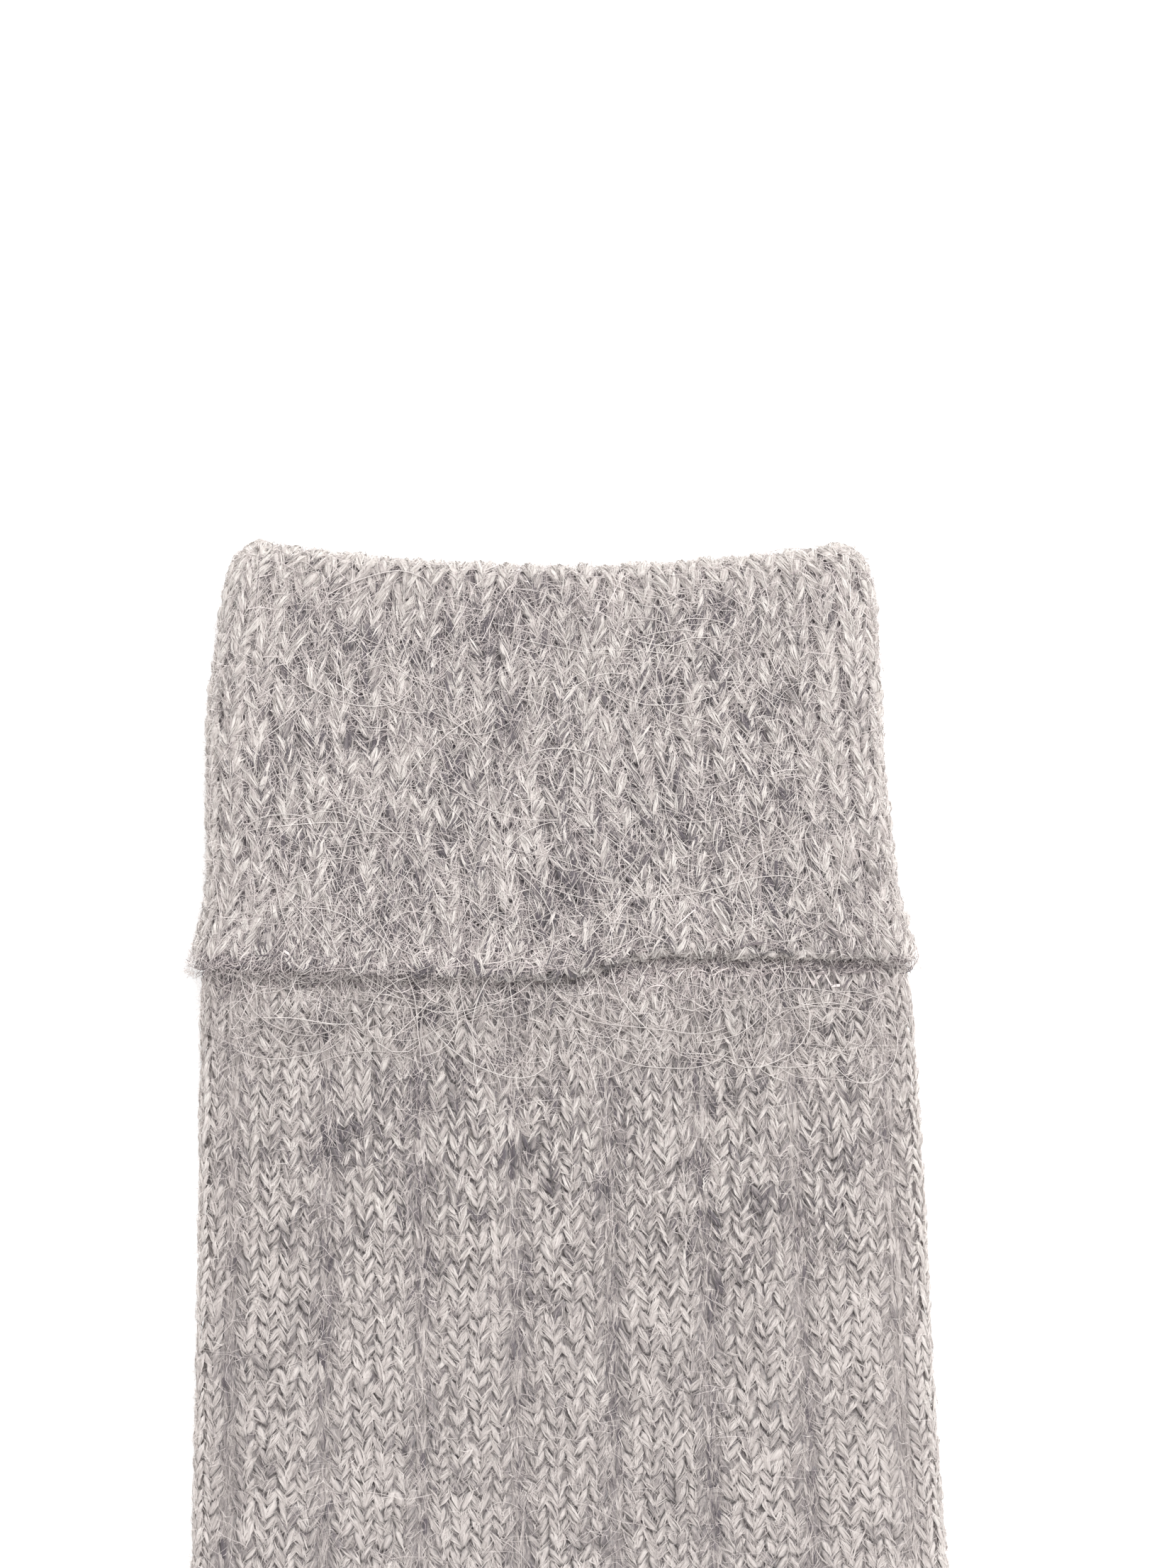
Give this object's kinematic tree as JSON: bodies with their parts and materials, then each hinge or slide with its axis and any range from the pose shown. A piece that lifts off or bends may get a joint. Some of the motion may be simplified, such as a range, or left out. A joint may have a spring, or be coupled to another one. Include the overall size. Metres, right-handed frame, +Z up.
{
  "type": "bed sock",
  "caption": "Thick ribbed knitted bed sock with a turned-down cuff, laid flat on its side.",
  "frame": {"origin": "centre of the sock's box, on the surface it lies on", "axes": "+Z up from the surface, +Y towards the folded top edge of the cuff, +X towards the toe's side"},
  "size_m": [0.2354, 0.3264, 0.012],
  "materials": {
    "cuff_knit": "brushed wool and alpaca knit, heather grey, hairy",
    "leg_knit": "brushed wool and alpaca knit, heather grey, hairy",
    "toe_knit": "brushed wool and alpaca knit, heather grey, hairy"
  },
  "bodies": {
    "root": {"turned_cuff": "cuff_knit", "leg_and_foot": "leg_knit", "toe": "toe_knit"}
  },
  "joints": []
}
